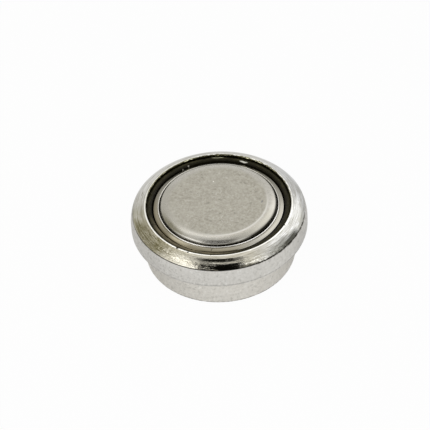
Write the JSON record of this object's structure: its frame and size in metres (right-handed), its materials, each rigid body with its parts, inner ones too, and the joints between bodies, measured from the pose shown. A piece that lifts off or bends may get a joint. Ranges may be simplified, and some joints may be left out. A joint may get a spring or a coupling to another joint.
{
  "type": "alkaline button cell",
  "caption": "Round alkaline button cell: stepped steel can crimped over a gasket and a raised negative cap; lower base and top disc are the contacts.",
  "frame": {"origin": "centre of the positive base, on the surface that the cell stands on", "axes": "+Z along the cell's axis, from the positive base to the negative contact disc; X and Y are equal"},
  "size_m": [0.0156, 0.0156, 0.0061],
  "materials": {
    "can_nickel": "nickel-plated steel, polished crimp with fine turning lines, satin band and base",
    "cap_nickel": "nickel-plated steel, matt grained contact disc with a bright rolled edge",
    "gasket_nylon": "nylon darkened by sealant, slightly glossy",
    "cathode_mix": "pressed black powder",
    "sleeve_steel": "plain nickel-plated strip",
    "barrier_film": "thin cellulose film",
    "absorbent_felt": "non-woven cellulose",
    "zinc_gel": "grey zinc powder in clear gel"
  },
  "bodies": {
    "root": {"positive_can": "can_nickel", "negative_cap": "cap_nickel", "sealing_gasket": "gasket_nylon", "cathode_pellet": "cathode_mix", "cathode_sleeve": "sleeve_steel", "barrier_separator": "barrier_film", "absorbent_separator": "absorbent_felt", "anode_gel": "zinc_gel"}
  },
  "joints": []
}
